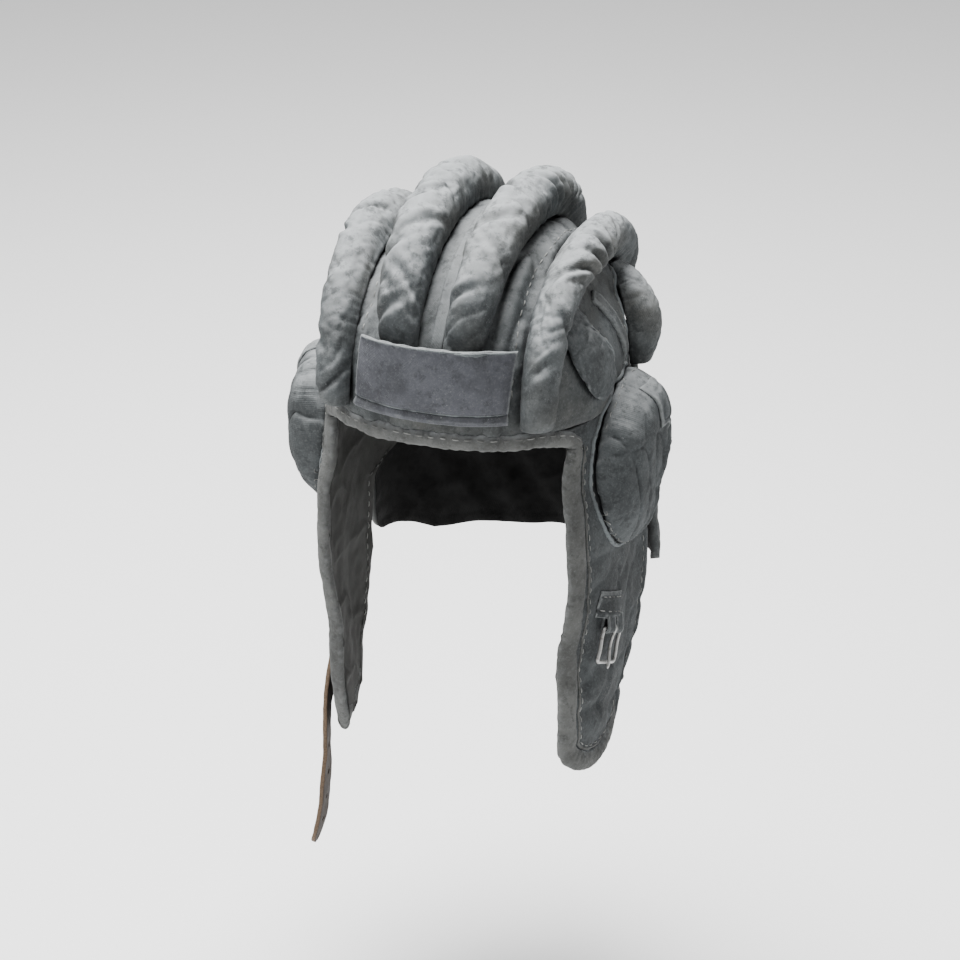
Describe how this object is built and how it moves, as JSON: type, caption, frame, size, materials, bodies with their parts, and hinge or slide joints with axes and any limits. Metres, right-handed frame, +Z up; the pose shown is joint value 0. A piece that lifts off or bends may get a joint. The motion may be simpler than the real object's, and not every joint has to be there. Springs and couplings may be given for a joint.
{
  "type": "padded cloth tanker helmet",
  "caption": "Padded cloth crew helmet with stuffed crown rolls, ear pads, long side flaps, a nape flap, a wire buckle and a leather chin strap.",
  "frame": {"origin": "top of the head hollow, on the inner face of the crown, where the helmet sits on the wearer's head", "axes": "+Z up, -Y towards the face opening, +X towards the wearer's left"},
  "size_m": [0.24, 0.2188, 0.4379],
  "materials": {
    "cotton_cloth": "worn, faded grey cotton twill with pale scuffs",
    "binding_cloth": "warm grey cotton tube, stitched, rubbed pale along its edges",
    "panel_cloth": "smoother slate grey cloth with pale scratches",
    "strap_leather": "old dark brown leather with tan cut edges",
    "wire": "bare steel wire, dulled"
  },
  "bodies": {
    "root": {"crown_shell": "cotton_cloth", "side_flap_left": "cotton_cloth", "side_flap_right": "cotton_cloth", "nape_flap": "cotton_cloth", "face_binding": "binding_cloth", "forehead_panel": "panel_cloth", "crown_tape": "cotton_cloth", "inner_roll_left": "cotton_cloth", "inner_roll_right": "cotton_cloth", "outer_roll_left": "cotton_cloth", "outer_roll_right": "cotton_cloth", "temple_roll_left": "cotton_cloth", "temple_roll_right": "cotton_cloth", "rear_roll_left": "cotton_cloth", "rear_roll_right": "cotton_cloth", "side_tape_left": "cotton_cloth", "side_tape_right": "cotton_cloth", "ear_pad_left": "cotton_cloth", "ear_pad_right": "cotton_cloth", "ear_cover_left": "cotton_cloth", "ear_cover_right": "cotton_cloth", "buckle_patch": "cotton_cloth", "buckle_loop": "cotton_cloth", "chin_strap": "strap_leather"},
    "buckle": {"buckle_frame": "wire"},
    "tongue": {"buckle_tongue": "wire"}
  },
  "joints": [
    {"name": "buckle_swing", "type": "hinge", "parent": "root", "child": "buckle", "pos_m": [0.09431, -0.03692, -0.23379], "axis": [-0.1706, -0.8826, 0.4382], "range_deg": [0, 100]},
    {"name": "tongue_swing", "type": "hinge", "parent": "buckle", "child": "tongue", "pos_m": [0.09431, -0.03692, -0.23379], "axis": [-0.1706, -0.8826, 0.4382], "range_deg": [0, 50]}
  ]
}
